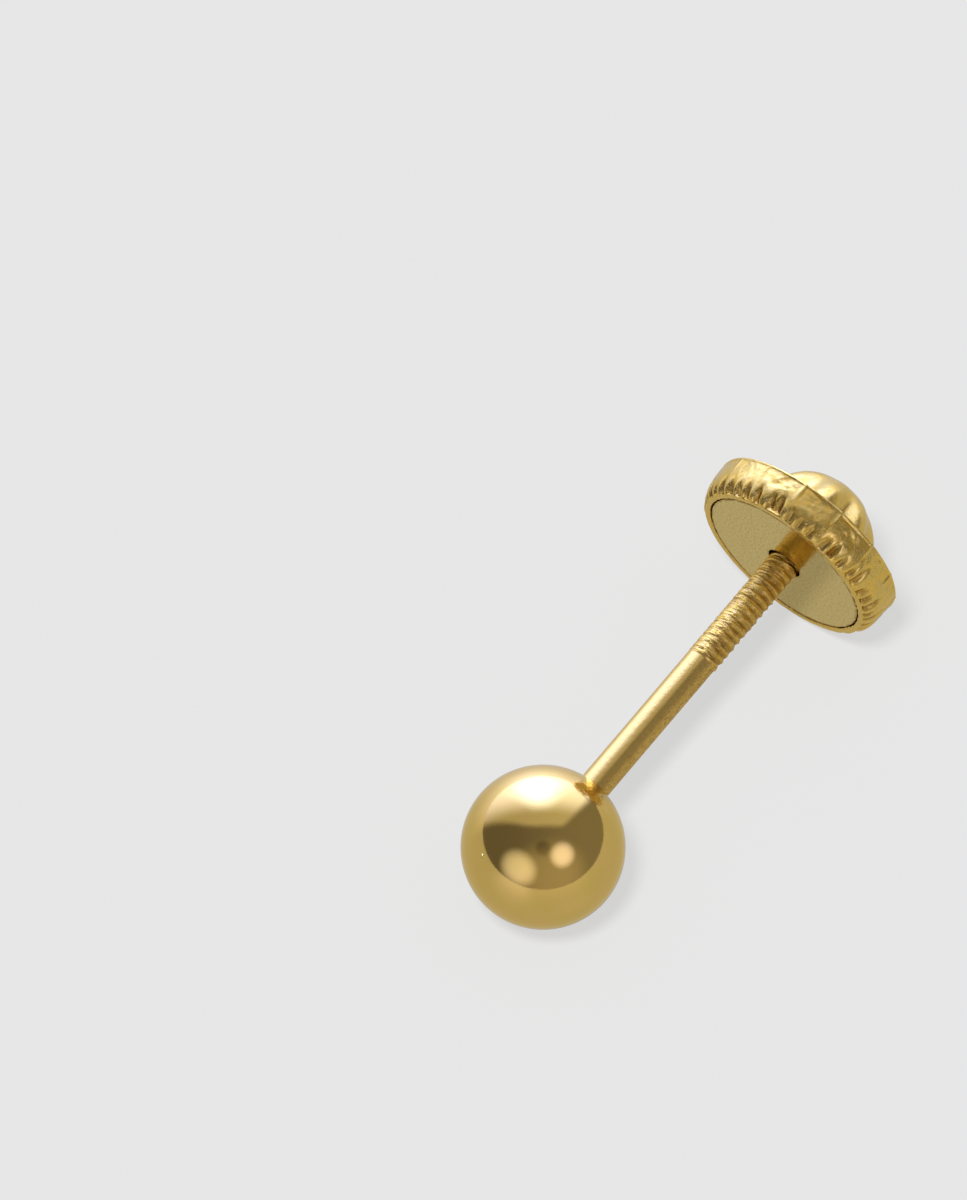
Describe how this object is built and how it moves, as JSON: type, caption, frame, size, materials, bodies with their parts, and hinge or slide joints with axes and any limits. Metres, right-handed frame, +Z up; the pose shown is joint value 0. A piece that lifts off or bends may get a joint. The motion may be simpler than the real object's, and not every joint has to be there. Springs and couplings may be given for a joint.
{
  "type": "ball stud earring",
  "caption": "Plain polished ball stud earring: a ball soldered to a thin part-threaded post, with a screw-on nut whose flat plate is held in a crimped, domed and fluted cap.",
  "frame": {"origin": "on the floor that the earring lies on, under the middle of its box", "axes": "+X along the post's plan direction from the ball to the nut, +Z up; the post rises 3.3 degrees toward the nut"},
  "size_m": [0.014, 0.0052, 0.0053],
  "materials": {
    "polished_gold": "mirror-polished yellow gold, with a rougher thread and a small orange ring of solder",
    "satin_gold": "fine satin pale yellow gold",
    "pressed_gold": "pressed and crimped yellow gold, bright on its ridges"
  },
  "bodies": {
    "stud": {"ball_and_post": "polished_gold"},
    "plate": {"nut_plate": "satin_gold"},
    "cap": {"nut_cap": "pressed_gold"}
  },
  "joints": [
    {"name": "nut_travel", "type": "slide", "parent": "stud", "child": "plate", "axis": [0.9983, 0, 0.0577], "range_m": [-0.00079, 0.00135]},
    {"name": "nut_turn", "type": "hinge", "parent": "plate", "child": "cap", "pos_m": [0.00455, 0, 0.00255], "axis": [0.9983, 0, 0.0577], "range_deg": [-1261, 2161]}
  ],
  "couplings": [
    {"joint": "nut_turn", "follows": "nut_travel", "rad_per_m": 27925}
  ]
}
